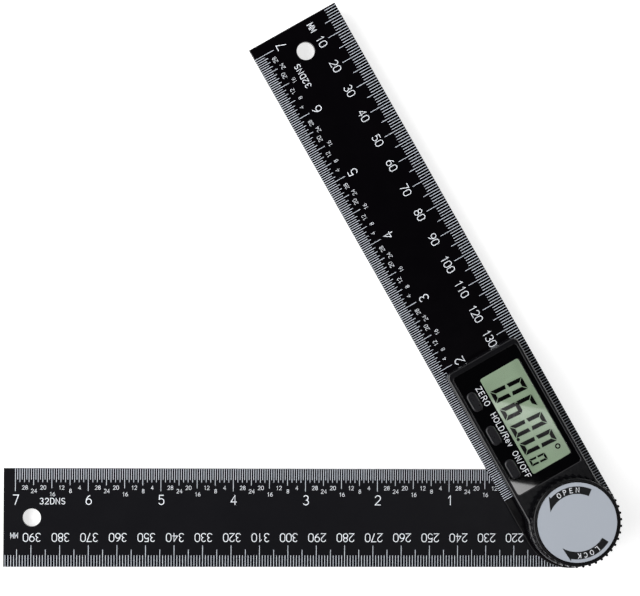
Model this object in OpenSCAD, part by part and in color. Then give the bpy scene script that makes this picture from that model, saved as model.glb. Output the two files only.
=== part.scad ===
// Digital angle finder: two flat arms on one pivot, with a display case and a locking knob.
// Millimetres. The tool lies on its back: +Z is the way the display faces, and the origin is on
// the pivot's axis at the back of the hub. The lower arm points along -X.
// Pieces of the upper arm are drawn along +Y and then turned to their place.

/* [Arms] */
// Distance from the pivot to each arm's tip
arm_len = 199.4; // [150:0.2:320]
// Width of each blade, and so the diameter of its round end
blade_w = 34.5; // [33:0.1:42]
// Thickness of each blade
blade_t = 3; // [2.8:0.1:3.8]
// Angle between the arms as they lie
arm_angle = 60; // [20:1:180]
// Radius of the hanging hole near each tip
hang_r = 3.18; // [1.5:0.01:6]
// Distance from the tip to the centre of the hanging hole
hang_inset = 9.9; // [8:0.1:25]
// Width of the broken edges of the blades
blade_break = 0.25; // [0.1:0.05:0.5]

/* [Pivot] */
// Thickness of the slip ring between the blades
spacer_t = 0.2; // [0.1:0.05:0.5]
// Width of the slip ring
spacer_w = 4; // [2:0.1:5]
// How far the hub's flange stays inside the blade's round end
flange_inset = 5.25; // [4:0.05:5.5]
// Thickness of the hub's flange
flange_t = 1.2; // [0.8:0.1:1.6]
// Width of the hub's flange, out from the barrel that the upper arm turns on
flange_w = 4; // [3.8:0.1:5]
// Radius of the neck that passes through the case
neck_r = 5; // [4:0.1:6]
// Radius of the stud that the knob screws onto
stud_r = 3; // [2:0.1:3.5]
// Distance across the stud's two flats
stud_flats = 5; // [3.6:0.1:5.4]
// Number of screws that hold the hub to the lower blade
hub_screw_count = 4; // [3:1:6]
// Wall of the bush in the upper blade
bush_wall = 1.45; // [0.8:0.05:2]

/* [Case] */
// How far the case's sides stay inside the blade's sides
housing_inset = 3.1; // [2:0.1:3.3]
// Height of the case above the upper blade
housing_h = 7.75; // [7.4:0.05:10]
// Wall of the case
housing_wall = 1.5; // [1:0.1:1.6]
// Radius of the case's corners seen from above
housing_corner = 2; // [1.2:0.1:4]
// Radius of the case's top edge
housing_edge = 0.8; // [0.3:0.1:1.1]
// Radius of the sweep from the case's sides into the round platform
platform_sweep = 4; // [2:0.5:8]
// How far the round platform stays inside the blade's round end
platform_inset = 1.15; // [0.9:0.05:1.3]

/* [Display] */
// Width of the case's rim beside the lens
lens_rim = 1.4; // [1.2:0.1:2]
// Width of the case's rim beyond the far end of the lens
lens_end_rim = 2.2; // [1.6:0.1:2.6]
// Distance from the round platform to the near end of the lens
lens_start_gap = 1.2; // [1:0.1:1.9]
// Thickness of the lens
lens_t = 1.2; // [0.8:0.1:1.4]
// How far the lens lies below the case's top
lens_sink = 0.2; // [0.1:0.05:0.5]
// Radius of the lens's corners
lens_corner = 1; // [0.6:0.1:2]
// Distance from the lens's near end to the glass
lcd_start_gap = 2.9; // [2.6:0.1:5]
// Length of the display glass
lcd_l = 40; // [34:0.5:60]
// Thickness of the display glass
lcd_t = 1.6; // [1:0.1:2]
// Distance from the case's inner end wall to the far end of the glass
lcd_end_gap = 4.8; // [4.7:0.1:5.5]

/* [Keys] */
// Width of each key
key_w = 3.4; // [3.1:0.1:3.8]
// Length of each key
key_l = 7.1; // [5:0.1:7.8]
// Radius of each key's corners
key_corner = 1.5; // [0.8:0.1:1.6]
// Radius of each key's top edge
key_edge = 0.5; // [0.2:0.1:0.7]
// Distance between the keys and the display glass
key_lcd_gap = 2.8; // [2.4:0.1:4.8]
// Distance between the centres of neighbouring keys
key_pitch = 13.5; // [13:0.1:14.5]
// How far a key stands above the lens
key_proud = 0.5; // [0.4:0.05:1]
// How far a key travels
key_travel = 0.4; // [0.2:0.05:0.4]

/* [Board and battery] */
// Height of the board above the upper blade
board_rise = 2.3; // [2.2:0.05:2.8]
// Thickness of the board
board_t = 1; // [0.6:0.1:1.2]
// Gap between the coin cell and the case's side walls
cell_side_gap = 2.65; // [2.45:0.05:4.65]
// Thickness of the coin cell
cell_t = 3.2; // [2:0.1:3.4]
// Gap between the coin cell and the far end of the case
cell_end_gap = 9.5; // [9:0.1:11]
// Thickness of the battery cover's plate
cover_t = 0.9; // [0.7:0.05:1]

/* [Knob] */
// How far the knob's side, between its ridges, stays inside the round platform
knob_inset = 0.8; // [0.7:0.1:1.6]
// Height of the knob
knob_h = 6.6; // [6.3:0.1:10]
// Number of ridges round the knob
ridge_count = 42; // [24:1:60]
// How far each ridge stands out
ridge_proud = 0.6; // [0.2:0.05:0.7]
// Radius of the knob's top edge
knob_edge = 0.4; // [0.2:0.05:0.8]
// Width of the rim round the label
knob_rim = 1.3; // [1:0.1:3]
// Thickness of the label
label_t = 0.3; // [0.2:0.05:0.6]
// Height of the nut in the knob
nut_h = 4; // [3:0.1:4.2]
// Distance across the nut's corners
nut_corners = 11.5; // [9:0.1:13]

/* [Hidden] */
$fn = 96;

// Clearances and the overrun of every cut
cut = 1;
run_fit = 0.05;
face_gap = 0.05;
loose_fit = 0.1;
hole_clear = 0.1;
lens_clear = 0.1;
key_clear = 0.15;

// Levels along Z, from the back up
upper_z = blade_t + spacer_t + face_gap;
seat_z = upper_z + blade_t;
case_top = seat_z + housing_h;
lens_z = case_top - lens_sink - lens_t;
ledge_t = 1;
ceiling_z = lens_z - ledge_t;
board_z = seat_z + board_rise;
board_top = board_z + board_t;
lcd_gap = 0.2;
lcd_z = lens_z - lcd_gap - lcd_t;

// Hub and what runs on it
flange_r = blade_w / 2 - flange_inset;
barrel_r = flange_r - flange_w;
spacer_r = barrel_r + spacer_w;
bush_flange_t = 0.5;
bush_flange_w = 1;
rotor_t = 1;
rotor_gap = 0.3;
rotor_z = board_z - rotor_gap - rotor_t;
rotor_edge_gap = 0.2;
neck_top = case_top - face_gap;
hub_screw_r = (flange_r + barrel_r) / 2;
hub_screw_head_r = 1.5;
hub_screw_head_h = 0.7;
hub_screw_shank_r = 0.8;
hub_screw_len = 2.5;
screw_slot_len_share = 1.25;
screw_slot_w_share = 0.3;
screw_slot_depth_share = 0.55;

// Inside of the case
housing_w = blade_w - 2 * housing_inset;
platform_r = blade_w / 2 - platform_inset;
lens_start = platform_r + lens_start_gap;
cavity_half = housing_w / 2 - housing_wall;
cavity_end = lens_start + lcd_start_gap + lcd_l + lcd_end_gap;
housing_end = cavity_end + housing_wall;
lens_w = housing_w - 2 * lens_rim;
lens_end = housing_end - lens_end_rim;
lens_l = lens_end - lens_start;
lens_mid = (lens_end + lens_start) / 2;
ledge_w = 0.8;
ledge_half = lens_w / 2 - ledge_w;
lip = 0.25;
boss_r = 2;
boss_bite = 0.25;
blend_w = 2 * housing_wall;
// The sweep's angle is a round number, and its radius and centre follow from that
angle_steps = 1000;
blend_angle = round(angle_steps * acos((housing_w / 2 + platform_sweep)
    / (platform_r + platform_sweep))) / angle_steps;
blend_r = (platform_r * cos(blend_angle) - housing_w / 2) / (1 - cos(blend_angle));
blend_x = housing_w / 2 + blend_r;
blend_y = (platform_r + blend_r) * sin(blend_angle);
hub_boss_r = 1.6;
hub_boss_bite = 0.4;
hub_boss_angle = 135;
case_screw_head_r = 1.9;
case_screw_head_h = 1;
case_screw_shank_r = 1;
case_screw_len = 7;
board_post_r = 1.8;
board_screw_head_r = 1.3;
board_screw_head_h = 0.7;
board_screw_shank_r = 0.7;
board_screw_len = 3;

// Display and its holder
holder_wall = 0.65;
holder_gap = 0.1;
holder_seat = 0.8;
lcd_side_gap = 0.15;
key_side_gap = 0.35;
lcd_w = 2 * ledge_half - key_side_gap - key_w - key_lcd_gap - lcd_side_gap;
lcd_x = ledge_half - lcd_side_gap - lcd_w / 2;
lcd_y = cavity_end - lcd_end_gap - lcd_l / 2;
lcd_step = 0.7;
zebra_w = 1.1;
zebra_l_share = 0.85;

// Keys and their switches
key_x = key_side_gap + key_w / 2 - ledge_half;
key_y_drop = 0.13;
key_ear = 0.6;
key_ear_t = 0.9;
key_stem_r = 1.1;
switch_w = 3;
switch_l = 3.4;
switch_base_t = 0.3;
switch_dome_r = 1;
switch_dome_t = 0.2;
switch_top = board_top + switch_base_t + switch_dome_t;

// Board and the posts that it is screwed to
board_post_inset = 4.15;
board_post_x = cavity_half - board_post_inset;
board_post_y = lens_start - board_post_r - face_gap;
side_post_bite = 0.26;
side_post_x = ledge_half - board_post_r + side_post_bite;
side_post_y = lcd_y - key_y_drop - key_pitch / 2;
board_edge_gap = 1.05;
board_half = cavity_half - board_edge_gap;
board_end_gap = 4.1;
board_end = cavity_end - board_end_gap;
board_hole_clear = 0.6;
chip_w = 6;
chip_t = 0.9;
chip_edge = 0.2;
chip_corner = 0.5;
chip_x = 2;
chip_gap = 6.7;
chip_y = lens_start + chip_gap + chip_w / 2;

// Coin cell, its contacts and its cover
cell_r = cavity_half - cell_side_gap;
cell_y = housing_end - cell_end_gap - cell_r;
contact_room = 0.8;
cell_top = board_z - contact_room;
cell_z = cell_top - cell_t;
cell_edge = 0.3;
cell_can_share = 0.85;
cell_lid_step = 0.25;
leaf_t = 0.2;
leaf_w = 3;
leaf_pad = 2.6;
leaf_drop = 1.2;
leaf_reach = 7;
leaf_foot = 2;
skirt_gap = 0.15;
skirt_wall = 0.85;
skirt_r = cell_r + skirt_gap + skirt_wall;
tab_proud = 1;
tab_w = 5;
tab_t = 0.9;
tab_count = 3;
notch_play = 0.3;
cover_lap = 1.3;
cover_r = skirt_r + cover_lap;
ledge_hole_r = skirt_r + run_fit;
cover_ledge_t = 0.7;
cover_ledge_z = upper_z + cover_t + face_gap;
tab_z = cover_ledge_z + cover_ledge_t + face_gap;
cover_open_angle = 45;
coin_slot_l = 13;
coin_slot_w = 1.6;
coin_slot_t = 0.5;
cover_pad_r = 6;
cell_gap = 0.1;

// Knob and washer
knob_r = platform_r - knob_inset;
washer_gap = 0.1;
washer_t = 1.2;
washer_z = case_top + washer_gap;
washer_top = washer_z + washer_t;
knob_lift_gap = 0.4;
knob_z = case_top + knob_lift_gap;
knob_top = knob_z + knob_h;
knob_skirt = 1.7;
knob_hollow_r = knob_r - knob_skirt;
washer_edge_gap = 2.1;
washer_r = knob_hollow_r - washer_edge_gap;
nut_z = washer_top + face_gap;
nut_top = nut_z + nut_h;
knob_boss_wall = 1.8;
nut_sides = 6;
knob_roof = 1.2;
hollow_top = knob_top - label_t - knob_roof;
ridge_r = 0.45;
ridge_steps = 24;
ridge_top_gap = 0.5;
stud_top_gap = 0.15;
stud_top = nut_top - stud_top_gap;

// Colours
black_body = [0.07, 0.07, 0.08];
black_case = [0.11, 0.11, 0.12];
black_gloss = [0.02, 0.02, 0.025];
key_grey = [0.15, 0.15, 0.16];
steel = [0.72, 0.73, 0.75];
brass = [0.78, 0.64, 0.32];
label_grey = [0.67, 0.7, 0.73];
lcd_green = [0.56, 0.64, 0.52];
board_green = [0.1, 0.36, 0.2];
nylon = [0.85, 0.85, 0.82];
rubber_pink = [0.8, 0.5, 0.5];

// Moves in two steps, a round one and the rest, so that the place keeps its figures
place_steps = 100;
module place(x, y) {
    round_x = round(x * place_steps) / place_steps;
    round_y = round(y * place_steps) / place_steps;
    translate([round_x, round_y]) translate([x - round_x, y - round_y]) children();
}

// Turns what is drawn along +Y to the upper arm's direction
module on_upper() {
    rotate([0, 0, 90 - arm_angle]) children();
}

// Half of an upright section that reaches $reach from its axis, with a rounded top edge
module round_section(h, edge) {
    difference() {
        square([$reach, h]);
        translate([$reach - edge, h - edge]) difference() {
            square(edge + cut);
            circle(edge);
        }
    }
}

// Half of an upright section that opens outwards at its top
module flared_section(h, flare) {
    polygon([[0, 0], [$reach, 0], [$reach, h - flare], [$reach + flare, h], [0, h]]);
}

// A block with upright round corners, whose edges take the section given as its child
module slab(w, l, corner) {
    for (sx = [-1, 1], sy = [-1, 1])
        translate([sx * (w / 2 - corner), sy * (l / 2 - corner), 0])
            rotate_extrude() let ($reach = corner) children();
    rotate([90, 0, 0]) linear_extrude(l - 2 * corner, center = true)
        for (side = [0, 1]) mirror([side, 0]) let ($reach = w / 2) children();
    rotate([90, 0, 90]) linear_extrude(w - 2 * corner, center = true)
        for (side = [0, 1]) mirror([side, 0]) let ($reach = l / 2) children();
}

// A plain block with upright round corners
module plain_slab(w, l, corner, h) {
    slab(w, l, corner) square([$reach, h]);
}

// Countersunk screw, its head's flat at z 0 and its point up
module sunk_screw(head_r, head_h, shank_r, len) {
    difference() {
        rotate_extrude() polygon([[0, 0], [head_r, 0], [shank_r, head_h], [shank_r, len], [0, len]]);
        for (turn = [0, 90]) rotate([0, 0, turn])
            cube([head_r * screw_slot_len_share, head_r * screw_slot_w_share,
                2 * head_h * screw_slot_depth_share], center = true);
    }
}

// The hole that a countersunk screw's head and shank pass through
module sunk_hole(head_r, head_h, hole_r, len) {
    rotate_extrude() polygon([[0, -cut], [head_r, -cut], [head_r, 0], [hole_r, head_h],
        [hole_r, len], [0, len]]);
}

// Blade section with its four long edges broken, from -reach to reach
function blade_points(low, high) = [
    [low, blade_break], [low + blade_break, 0], [high - blade_break, 0], [high, blade_break],
    [high, blade_t - blade_break], [high - blade_break, blade_t],
    [low + blade_break, blade_t], [low, blade_t - blade_break]];

// One blade along +Y with a round end on the pivot and a square tip
module blade_blank() {
    difference() {
        union() {
            rotate_extrude() polygon([[0, 0], [blade_w / 2 - blade_break, 0],
                [blade_w / 2, blade_break], [blade_w / 2, blade_t - blade_break],
                [blade_w / 2 - blade_break, blade_t], [0, blade_t]]);
            intersection() {
                translate([0, arm_len, 0]) rotate([90, 0, 0]) linear_extrude(arm_len)
                    polygon(blade_points(-blade_w / 2, blade_w / 2));
                rotate([90, 0, 90]) linear_extrude(blade_w, center = true)
                    polygon(blade_points(-blade_w, arm_len));
            }
        }
        translate([0, arm_len - hang_inset, -cut]) cylinder(r = hang_r, h = blade_t + 2 * cut);
    }
}

// Places of the hub's screws
module at_hub_screws() {
    for (i = [0 : hub_screw_count - 1])
        rotate([0, 0, 360 * (i + 1 / 2) / hub_screw_count])
            translate([hub_screw_r, 0, 0]) children();
}

// Places of the screws that hold the case: two at its far end and two beside the pivot
module at_end_bosses() {
    for (side = [-1, 1])
        translate([side * (cavity_half - boss_r + boss_bite),
            cavity_end - boss_r + boss_bite, 0]) children();
}
module at_hub_bosses() {
    reach = platform_r - housing_wall - hub_boss_r + hub_boss_bite;
    for (side = [-1, 1])
        translate([side * reach * sin(hub_boss_angle), reach * cos(hub_boss_angle), 0]) children();
}

// Places of the posts that the board is screwed to
module at_board_posts() {
    for (side = [-1, 1]) translate([side * board_post_x, board_post_y, 0]) children();
    translate([-side_post_x, side_post_y, 0]) children();
}

// Places of the keys along the arm, one step each: 1 is zero, 0 is hold, -1 is power
module at_key(step) {
    translate([key_x, lcd_y - key_y_drop + step * key_pitch, 0]) children();
}

// Lower arm
module lower_blade() {
    color(black_body) difference() {
        rotate([0, 0, 90]) blade_blank();
        translate([0, 0, -cut]) cylinder(r = flange_r + run_fit, h = flange_t + cut);
        cylinder(r = barrel_r + run_fit, h = blade_t + cut);
        at_hub_screws() cylinder(r = hub_screw_shank_r, h = hub_screw_len);
    }
}

module pivot_hub() {
    color(steel) difference() {
        rotate_extrude() polygon([[0, 0], [flange_r, 0], [flange_r, flange_t], [barrel_r, flange_t],
            [barrel_r, rotor_z], [neck_r, rotor_z], [neck_r, neck_top], [stud_r, neck_top],
            [stud_r, stud_top], [0, stud_top]]);
        for (side = [-1, 1])
            translate([side * (stud_flats / 2 + stud_r), 0, (neck_top + stud_top + cut) / 2])
                cube([2 * stud_r, 4 * stud_r, stud_top - neck_top + cut], center = true);
        at_hub_screws()
            sunk_hole(hub_screw_head_r, hub_screw_head_h, hub_screw_shank_r, flange_t + cut);
    }
}

module hub_screws() {
    color(steel) at_hub_screws()
        sunk_screw(hub_screw_head_r, hub_screw_head_h, hub_screw_shank_r, hub_screw_len);
}

module spacer_washer() {
    color(nylon) translate([0, 0, blade_t]) difference() {
        cylinder(r = spacer_r, h = spacer_t);
        translate([0, 0, -cut]) cylinder(r = barrel_r + run_fit, h = spacer_t + 2 * cut);
    }
}

module encoder_rotor() {
    color(board_green) translate([0, 0, rotor_z]) difference() {
        cylinder(r = board_half - rotor_edge_gap, h = rotor_t);
        translate([0, 0, -cut]) cylinder(r = neck_r + run_fit, h = rotor_t + 2 * cut);
    }
}

// Upper arm
bush_r = barrel_r + run_fit + bush_wall;

module upper_blade() {
    color(black_body) on_upper() difference() {
        translate([0, 0, upper_z]) blade_blank();
        translate([0, 0, upper_z - cut]) cylinder(r = bush_r, h = blade_t + 2 * cut);
        translate([0, cell_y, 0]) battery_way();
        at_end_bosses() translate([0, 0, upper_z]) case_screw_hole();
        at_hub_bosses() translate([0, 0, upper_z]) case_screw_hole();
    }
}

// The way through the upper blade for the cell and its cover: recess, ledge, notches and pocket
module battery_way() {
    translate([0, 0, upper_z - cut])
        cylinder(r = cover_r + run_fit, h = cover_ledge_z - upper_z + cut);
    translate([0, 0, upper_z]) cylinder(r = ledge_hole_r, h = blade_t + cut);
    translate([0, 0, cover_ledge_z + cover_ledge_t])
        cylinder(r = skirt_r + tab_proud + run_fit, h = blade_t + cut);
    intersection() {
        translate([0, 0, upper_z]) cylinder(r = skirt_r + tab_proud + run_fit, h = blade_t + cut);
        rotate([0, 0, -cover_open_angle]) translate([0, 0, upper_z])
            tab_spokes(tab_w + 2 * notch_play, blade_t);
    }
}

// Spokes at even turns, from the middle out past the tabs
module tab_spokes(w, h) {
    for (i = [0 : tab_count - 1]) rotate([0, 0, 360 * i / tab_count])
        translate([-w / 2, 0, 0]) cube([w, cover_r, h]);
}

module case_screw_hole() {
    sunk_hole(case_screw_head_r, case_screw_head_h, case_screw_shank_r + hole_clear, blade_t + cut);
}

module pivot_bush() {
    color(brass) on_upper() difference() {
        union() {
            translate([0, 0, upper_z]) cylinder(r = bush_r, h = blade_t);
            translate([0, 0, seat_z]) cylinder(r = bush_r + bush_flange_w, h = bush_flange_t);
        }
        translate([0, 0, upper_z - cut])
            cylinder(r = barrel_r + run_fit, h = blade_t + bush_flange_t + 2 * cut);
    }
}

// One side's sweep from the case's straight side to the round platform: part of a ring about a
// centre outside both, between the two points where its inner circle touches them
module platform_blend() {
    place(blend_x, blend_y) rotate([0, 0, 180]) rotate_extrude(angle = blend_angle)
        place(blend_r + blend_w, 0) mirror([1, 0])
            let ($reach = blend_w) round_section(housing_h, housing_edge);
}

// The case's outer form: straight part, round platform, a sweep on each side and the core
// between them
module housing_outside() {
    slab_l = housing_end + housing_corner;
    core_r = platform_r - blend_w / 2;
    core_x = housing_w / 2 - blend_w / 2;
    intersection() {
        translate([0, housing_end - slab_l / 2, 0])
            slab(housing_w, slab_l, housing_corner) round_section(housing_h, housing_edge);
        translate([-housing_w, blend_y, -cut]) cube([2 * housing_w, housing_end, 2 * housing_h]);
    }
    rotate_extrude(angle = 180 + 2 * blend_angle, start = 180 - blend_angle)
        let ($reach = platform_r) round_section(housing_h, housing_edge);
    for (side = [0, 1]) mirror([side, 0, 0]) {
        platform_blend();
        linear_extrude(housing_h) polygon([[0, -core_r / 2], [core_r * cos(blend_angle), 0],
            [core_x, blend_y], [0, blend_y]]);
    }
}

module housing_hollow() {
    translate([-cavity_half, 0, -cut]) cube([2 * cavity_half, cavity_end, ceiling_z - seat_z + cut]);
    translate([0, 0, -cut])
        cylinder(r = platform_r - housing_wall, h = ceiling_z - seat_z + cut);
}

module housing() {
    color(black_case) on_upper() {
        difference() {
            translate([0, 0, seat_z]) difference() {
                housing_outside();
                housing_hollow();
            }
            translate([0, lens_mid, lens_z])
                slab(lens_w + 2 * lens_clear, lens_l + 2 * lens_clear, lens_corner + lens_clear)
                    flared_section(lens_sink + lens_t + face_gap, lip);
            translate([0, lens_mid, ceiling_z - cut])
                plain_slab(lens_w - 2 * ledge_w, lens_l - 2 * ledge_w, lens_corner, ledge_t + 2 * cut);
            translate([0, 0, ceiling_z - cut])
                cylinder(r = neck_r + run_fit, h = case_top - ceiling_z + 2 * cut);
        }
        difference() {
            union() {
                at_end_bosses() case_boss(boss_r);
                at_hub_bosses() case_boss(hub_boss_r);
            }
            at_end_bosses() case_boss_hole();
            at_hub_bosses() case_boss_hole();
        }
        difference() {
            at_board_posts() translate([0, 0, board_top])
                cylinder(r = board_post_r, h = ceiling_z + ledge_t / 2 - board_top);
            at_board_posts() translate([0, 0, board_z]) cylinder(r = board_screw_shank_r,
                h = board_screw_len);
        }
    }
}

module case_boss(r) {
    translate([0, 0, seat_z]) cylinder(r = r, h = ceiling_z + ledge_t / 2 - seat_z);
}

module case_boss_hole() {
    translate([0, 0, upper_z]) cylinder(r = case_screw_shank_r, h = case_screw_len);
}

module display_lens() {
    color(black_gloss) on_upper() translate([0, 0, lens_z]) difference() {
        translate([0, lens_mid, 0])
            slab(lens_w, lens_l, lens_corner) square([$reach, lens_t]);
        for (step = [-1 : 1]) at_key(step) translate([0, 0, -cut])
            plain_slab(key_w + 2 * key_clear, key_l + 2 * key_clear, key_corner + key_clear,
                lens_t + 2 * cut);
    }
}

// Two sheets of glass, the upper one short of the edge that the contact strip touches
module lcd_panel() {
    color(lcd_green) on_upper() translate([lcd_x, lcd_y, lcd_z]) {
        translate([-lcd_w / 2, -lcd_l / 2, 0]) cube([lcd_w, lcd_l, lcd_t / 2]);
        translate([lcd_step - lcd_w / 2, -lcd_l / 2, lcd_t / 2])
            cube([lcd_w - lcd_step, lcd_l, lcd_t / 2]);
    }
}

module lcd_holder() {
    pocket_w = lcd_w + 2 * loose_fit;
    pocket_l = lcd_l + 2 * loose_fit;
    right = cavity_half - holder_gap - lcd_x;
    color(nylon) on_upper() translate([lcd_x, lcd_y, board_top]) difference() {
        translate([-pocket_w / 2 - holder_wall, -pocket_l / 2 - holder_wall, 0])
            cube([right + pocket_w / 2 + holder_wall, pocket_l + 2 * holder_wall,
                ceiling_z - holder_gap - board_top]);
        translate([-pocket_w / 2, -pocket_l / 2, lcd_z - board_top])
            cube([pocket_w, pocket_l, lcd_t + cut]);
        translate([loose_fit - lcd_w / 2, holder_seat - lcd_l / 2, -cut])
            cube([lcd_w - loose_fit - holder_seat, lcd_l - 2 * holder_seat,
                lcd_z - board_top + 2 * cut]);
    }
}

module zebra_strip() {
    color(rubber_pink) on_upper()
        translate([lcd_x - lcd_w / 2 + loose_fit + face_gap, lcd_y - lcd_l * zebra_l_share / 2, board_top])
            cube([zebra_w, lcd_l * zebra_l_share, lcd_z - board_top]);
}

module main_board() {
    color(board_green) on_upper() translate([0, 0, board_z]) difference() {
        union() {
            translate([-board_half, 0, 0]) cube([2 * board_half, board_end, board_t]);
            cylinder(r = board_half, h = board_t);
        }
        translate([0, 0, -cut]) cylinder(r = neck_r + board_hole_clear, h = board_t + 2 * cut);
        at_board_posts() translate([0, 0, -cut])
            cylinder(r = board_screw_shank_r + run_fit, h = board_t + 2 * cut);
    }
}

module controller_chip() {
    color(black_body) on_upper() translate([chip_x, chip_y, board_z]) mirror([0, 0, 1])
        slab(chip_w, chip_w, chip_corner) round_section(chip_t, chip_edge);
}

module dome_switches() {
    color(steel) on_upper() for (step = [-1 : 1]) at_key(step) translate([0, 0, board_top]) {
        translate([-switch_w / 2, -switch_l / 2, 0]) cube([switch_w, switch_l, switch_base_t]);
        cylinder(r = switch_dome_r, h = switch_base_t + switch_dome_t);
    }
}

// Coin cell: the can faces the cover, and the smaller lid faces the board
module battery_cell() {
    can_t = cell_t * cell_can_share;
    color(steel) on_upper() translate([0, cell_y, cell_z]) rotate_extrude()
        polygon([[0, 0], [cell_r - cell_edge, 0], [cell_r, cell_edge], [cell_r, can_t - cell_edge],
            [cell_r - cell_edge, can_t], [cell_r - cell_edge - cell_lid_step, can_t],
            [cell_r - cell_edge - 2 * cell_lid_step, cell_t], [0, cell_t]]);
}

// Leaf against the side of the can, bent down from a pad under the board
module positive_contact() {
    color(steel) on_upper() translate([-leaf_w / 2, cell_y + cell_r + face_gap, 0]) {
        translate([0, 0, board_z - leaf_t]) cube([leaf_w, leaf_pad, leaf_t]);
        translate([0, 0, cell_top - leaf_drop]) cube([leaf_w, leaf_t, board_z - cell_top + leaf_drop]);
    }
}

// Leaf from a pad under the board down to a foot on the cell's lid
module negative_contact() {
    low = cell_top;
    high = board_z;
    color(steel) on_upper() translate([0, cell_y, 0]) rotate([90, 0, 90])
        linear_extrude(leaf_w, center = true)
            polygon([[leaf_reach, high], [leaf_reach - leaf_pad, high], [-leaf_foot, low + leaf_t],
                [-2 * leaf_foot, low + leaf_t], [-2 * leaf_foot, low], [-leaf_foot, low],
                [leaf_reach - leaf_pad, high - leaf_t], [leaf_reach, high - leaf_t]]);
}

module board_screws() {
    color(steel) on_upper() at_board_posts() {
        translate([0, 0, board_z - board_screw_head_h])
            cylinder(r = board_screw_head_r, h = board_screw_head_h);
        translate([0, 0, board_z]) cylinder(r = board_screw_shank_r, h = board_screw_len);
    }
}

module housing_screws() {
    color(steel) on_upper() translate([0, 0, upper_z]) {
        at_end_bosses() case_screw();
        at_hub_bosses() case_screw();
    }
}

module case_screw() {
    sunk_screw(case_screw_head_r, case_screw_head_h, case_screw_shank_r, case_screw_len);
}

// Quarter-turn cover: plate with a coin slot, pad under the cell, skirt round it, and three tabs
// that lie over the ledge
module battery_cover() {
    skirt_top = tab_z + tab_t;
    plate_top = upper_z + cover_t;
    color(black_body) on_upper() translate([0, cell_y, 0]) {
        difference() {
            translate([0, 0, upper_z]) cylinder(r = cover_r, h = cover_t);
            translate([-coin_slot_l / 2, -coin_slot_w / 2, upper_z - cut])
                cube([coin_slot_l, coin_slot_w, coin_slot_t + cut]);
        }
        difference() {
            union() {
                translate([0, 0, plate_top]) cylinder(r = skirt_r, h = skirt_top - plate_top);
                intersection() {
                    translate([0, 0, tab_z]) cylinder(r = skirt_r + tab_proud, h = tab_t);
                    translate([0, 0, tab_z]) tab_spokes(tab_w, tab_t);
                }
            }
            translate([0, 0, plate_top - cut]) cylinder(r = cell_r + skirt_gap, h = skirt_top);
        }
        translate([0, 0, plate_top]) cylinder(r = cover_pad_r, h = cell_z - cell_gap - plate_top);
    }
}

// Key: cap through the lens, ears under it and a stem above its switch
module key(step) {
    ear_top = lens_z - loose_fit;
    stem_z = switch_top + key_travel + face_gap;
    color(key_grey) on_upper() at_key(step) {
        translate([0, 0, ear_top - key_ear_t])
            slab(key_w, key_l, key_corner)
                round_section(lens_z + lens_t + key_proud - ear_top + key_ear_t, key_edge);
        translate([0, 0, ear_top - key_ear_t])
            plain_slab(key_w, key_l + 2 * key_ear, key_corner, key_ear_t);
        translate([0, 0, stem_z]) cylinder(r = key_stem_r, h = ear_top - stem_z);
    }
}
module zero_button() {
    key(1);
}
module hold_button() {
    key(0);
}
module power_button() {
    key(-1);
}

// Knob on the hub's stud
module clamp_washer() {
    color(steel) translate([0, 0, washer_z]) difference() {
        cylinder(r = washer_r, h = washer_t);
        intersection() {
            translate([0, 0, -cut]) cylinder(r = stud_r + run_fit, h = washer_t + 2 * cut);
            cube([stud_flats + 2 * run_fit, 4 * stud_r, 4 * washer_t], center = true);
        }
    }
}

module knob_body() {
    boss_r_out = nut_corners / 2 + knob_boss_wall;
    ridge_at = knob_r + ridge_proud - ridge_r;
    color(black_case) difference() {
        union() {
            translate([0, 0, knob_z]) rotate_extrude()
                let ($reach = knob_r) round_section(knob_h, knob_edge);
            for (i = [0 : ridge_count - 1]) let (turn = 360 * (i + 1 / 2) / ridge_count)
                translate([ridge_at * cos(turn), ridge_at * sin(turn), knob_z])
                    cylinder(r = ridge_r, h = knob_h - ridge_top_gap, $fn = ridge_steps);
        }
        translate([0, 0, knob_z - cut]) difference() {
            cylinder(r = knob_hollow_r, h = hollow_top - knob_z + cut);
            translate([0, 0, nut_z - knob_z + cut]) cylinder(r = boss_r_out, h = knob_h);
        }
        translate([0, 0, nut_z - cut]) cylinder(r = nut_corners / 2, h = nut_h + cut, $fn = nut_sides);
        translate([0, 0, knob_top - label_t]) cylinder(r = knob_r - knob_rim, h = label_t + cut);
    }
}

module knob_label() {
    color(label_grey) translate([0, 0, knob_top - label_t])
        cylinder(r = knob_r - knob_rim - run_fit, h = label_t - face_gap);
}

module knob_nut() {
    color(brass) translate([0, 0, nut_z]) difference() {
        cylinder(r = nut_corners / 2, h = nut_h, $fn = nut_sides);
        translate([0, 0, -cut]) cylinder(r = stud_r + run_fit, h = nut_h + 2 * cut);
    }
}

lower_blade();
pivot_hub();
hub_screws();
spacer_washer();
encoder_rotor();
upper_blade();
pivot_bush();
housing();
display_lens();
lcd_panel();
lcd_holder();
zebra_strip();
main_board();
controller_chip();
dome_switches();
battery_cell();
positive_contact();
negative_contact();
board_screws();
housing_screws();
battery_cover();
zero_button();
hold_button();
power_button();
clamp_washer();
knob_body();
knob_label();
knob_nut();
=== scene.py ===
import math

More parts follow.
